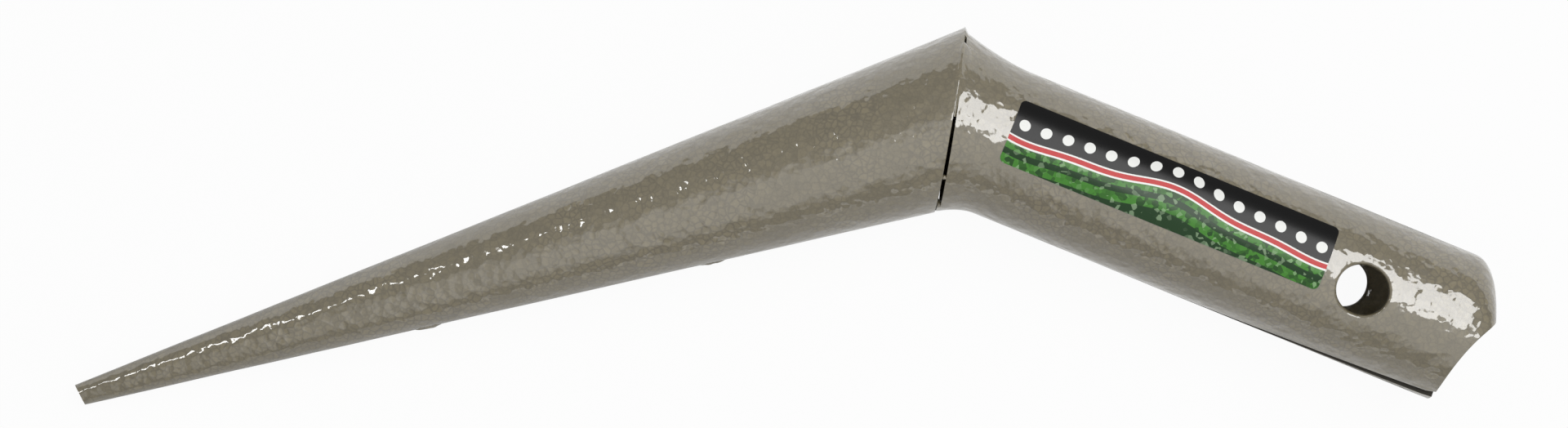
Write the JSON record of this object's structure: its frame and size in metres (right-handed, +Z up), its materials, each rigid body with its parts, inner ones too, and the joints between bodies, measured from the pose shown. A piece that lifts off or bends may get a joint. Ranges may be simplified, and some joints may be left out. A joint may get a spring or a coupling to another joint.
{
  "type": "dibber",
  "caption": "Angled dibber of rolled sheet steel: a long conical spike that presses planting holes, welded at a sharp ridge to a tubular handle with a hang hole and a printed label.",
  "frame": {"origin": "on the bench, under the middle of the tool's box as it lies on its side", "axes": "+X along the tool, from the spike's tip to the handle's end; +Y towards the ridge at the joint; +Z up from the bench, towards the side with the label"},
  "size_m": [0.2994, 0.0792, 0.0353],
  "materials": {
    "paint": "glossy grey-olive hammered paint",
    "label_print": "glossy printed film"
  },
  "bodies": {
    "root": {"spike": "paint", "handle": "paint", "joint_welds": "paint", "spike_seam_tacks": "paint", "label": "label_print"}
  },
  "joints": []
}
